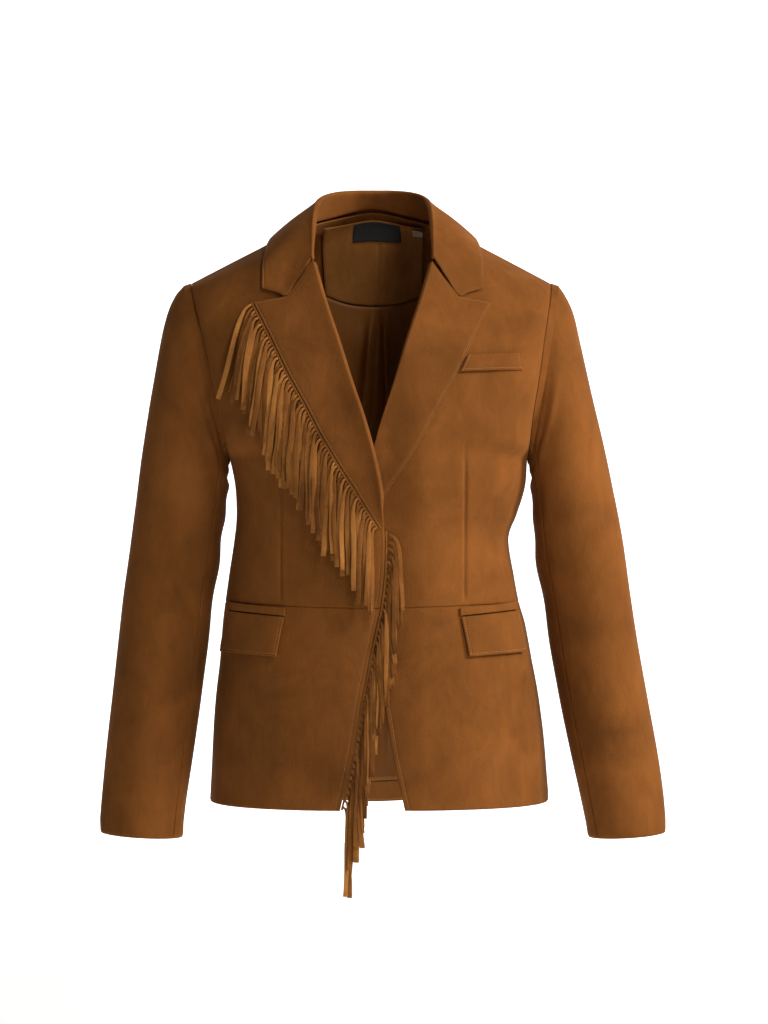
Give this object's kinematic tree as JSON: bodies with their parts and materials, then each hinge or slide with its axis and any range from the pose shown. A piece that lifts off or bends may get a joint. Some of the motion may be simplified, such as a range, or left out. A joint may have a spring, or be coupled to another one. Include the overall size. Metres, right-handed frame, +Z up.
{
  "type": "suede jacket",
  "caption": "Waist-seamed suede jacket with peak lapels, flap pockets, a breast welt and fringe down one lapel and front edge, kept hollow as when worn.",
  "frame": {"origin": "between the shoulders, level with the neck ends of the shoulder seams, where a wearer's shoulders carry the jacket", "axes": "+X is the wearer's left, -Y the front, +Z up"},
  "size_m": [0.6255, 0.2635, 0.7806],
  "materials": {
    "suede": "tan suede with a soft nap",
    "fringe_suede": "tan suede cut into strands",
    "lining_satin": "brown satin",
    "label_weave": "black woven label, bare",
    "size_tag_tape": "pale grey tape, bare"
  },
  "bodies": {
    "root": {"front_right": "suede", "front_left": "suede", "front_skirt_right": "suede", "front_skirt_left": "suede", "back_right": "suede", "back_left": "suede", "back_skirt_right": "suede", "back_skirt_left": "suede", "top_sleeve_right": "suede", "top_sleeve_left": "suede", "under_sleeve_right": "suede", "under_sleeve_left": "suede", "lapel_right": "suede", "lapel_left": "suede", "collar": "suede", "pocket_welt_right": "suede", "pocket_welt_left": "suede", "pocket_flap_right": "suede", "pocket_flap_left": "suede", "breast_welt": "suede", "back_neck_facing": "suede", "back_hem_facing": "suede", "fringe_lapel": "fringe_suede", "fringe_front_edge": "fringe_suede", "back_lining": "lining_satin", "neck_label": "label_weave", "size_tag": "size_tag_tape"}
  },
  "joints": []
}
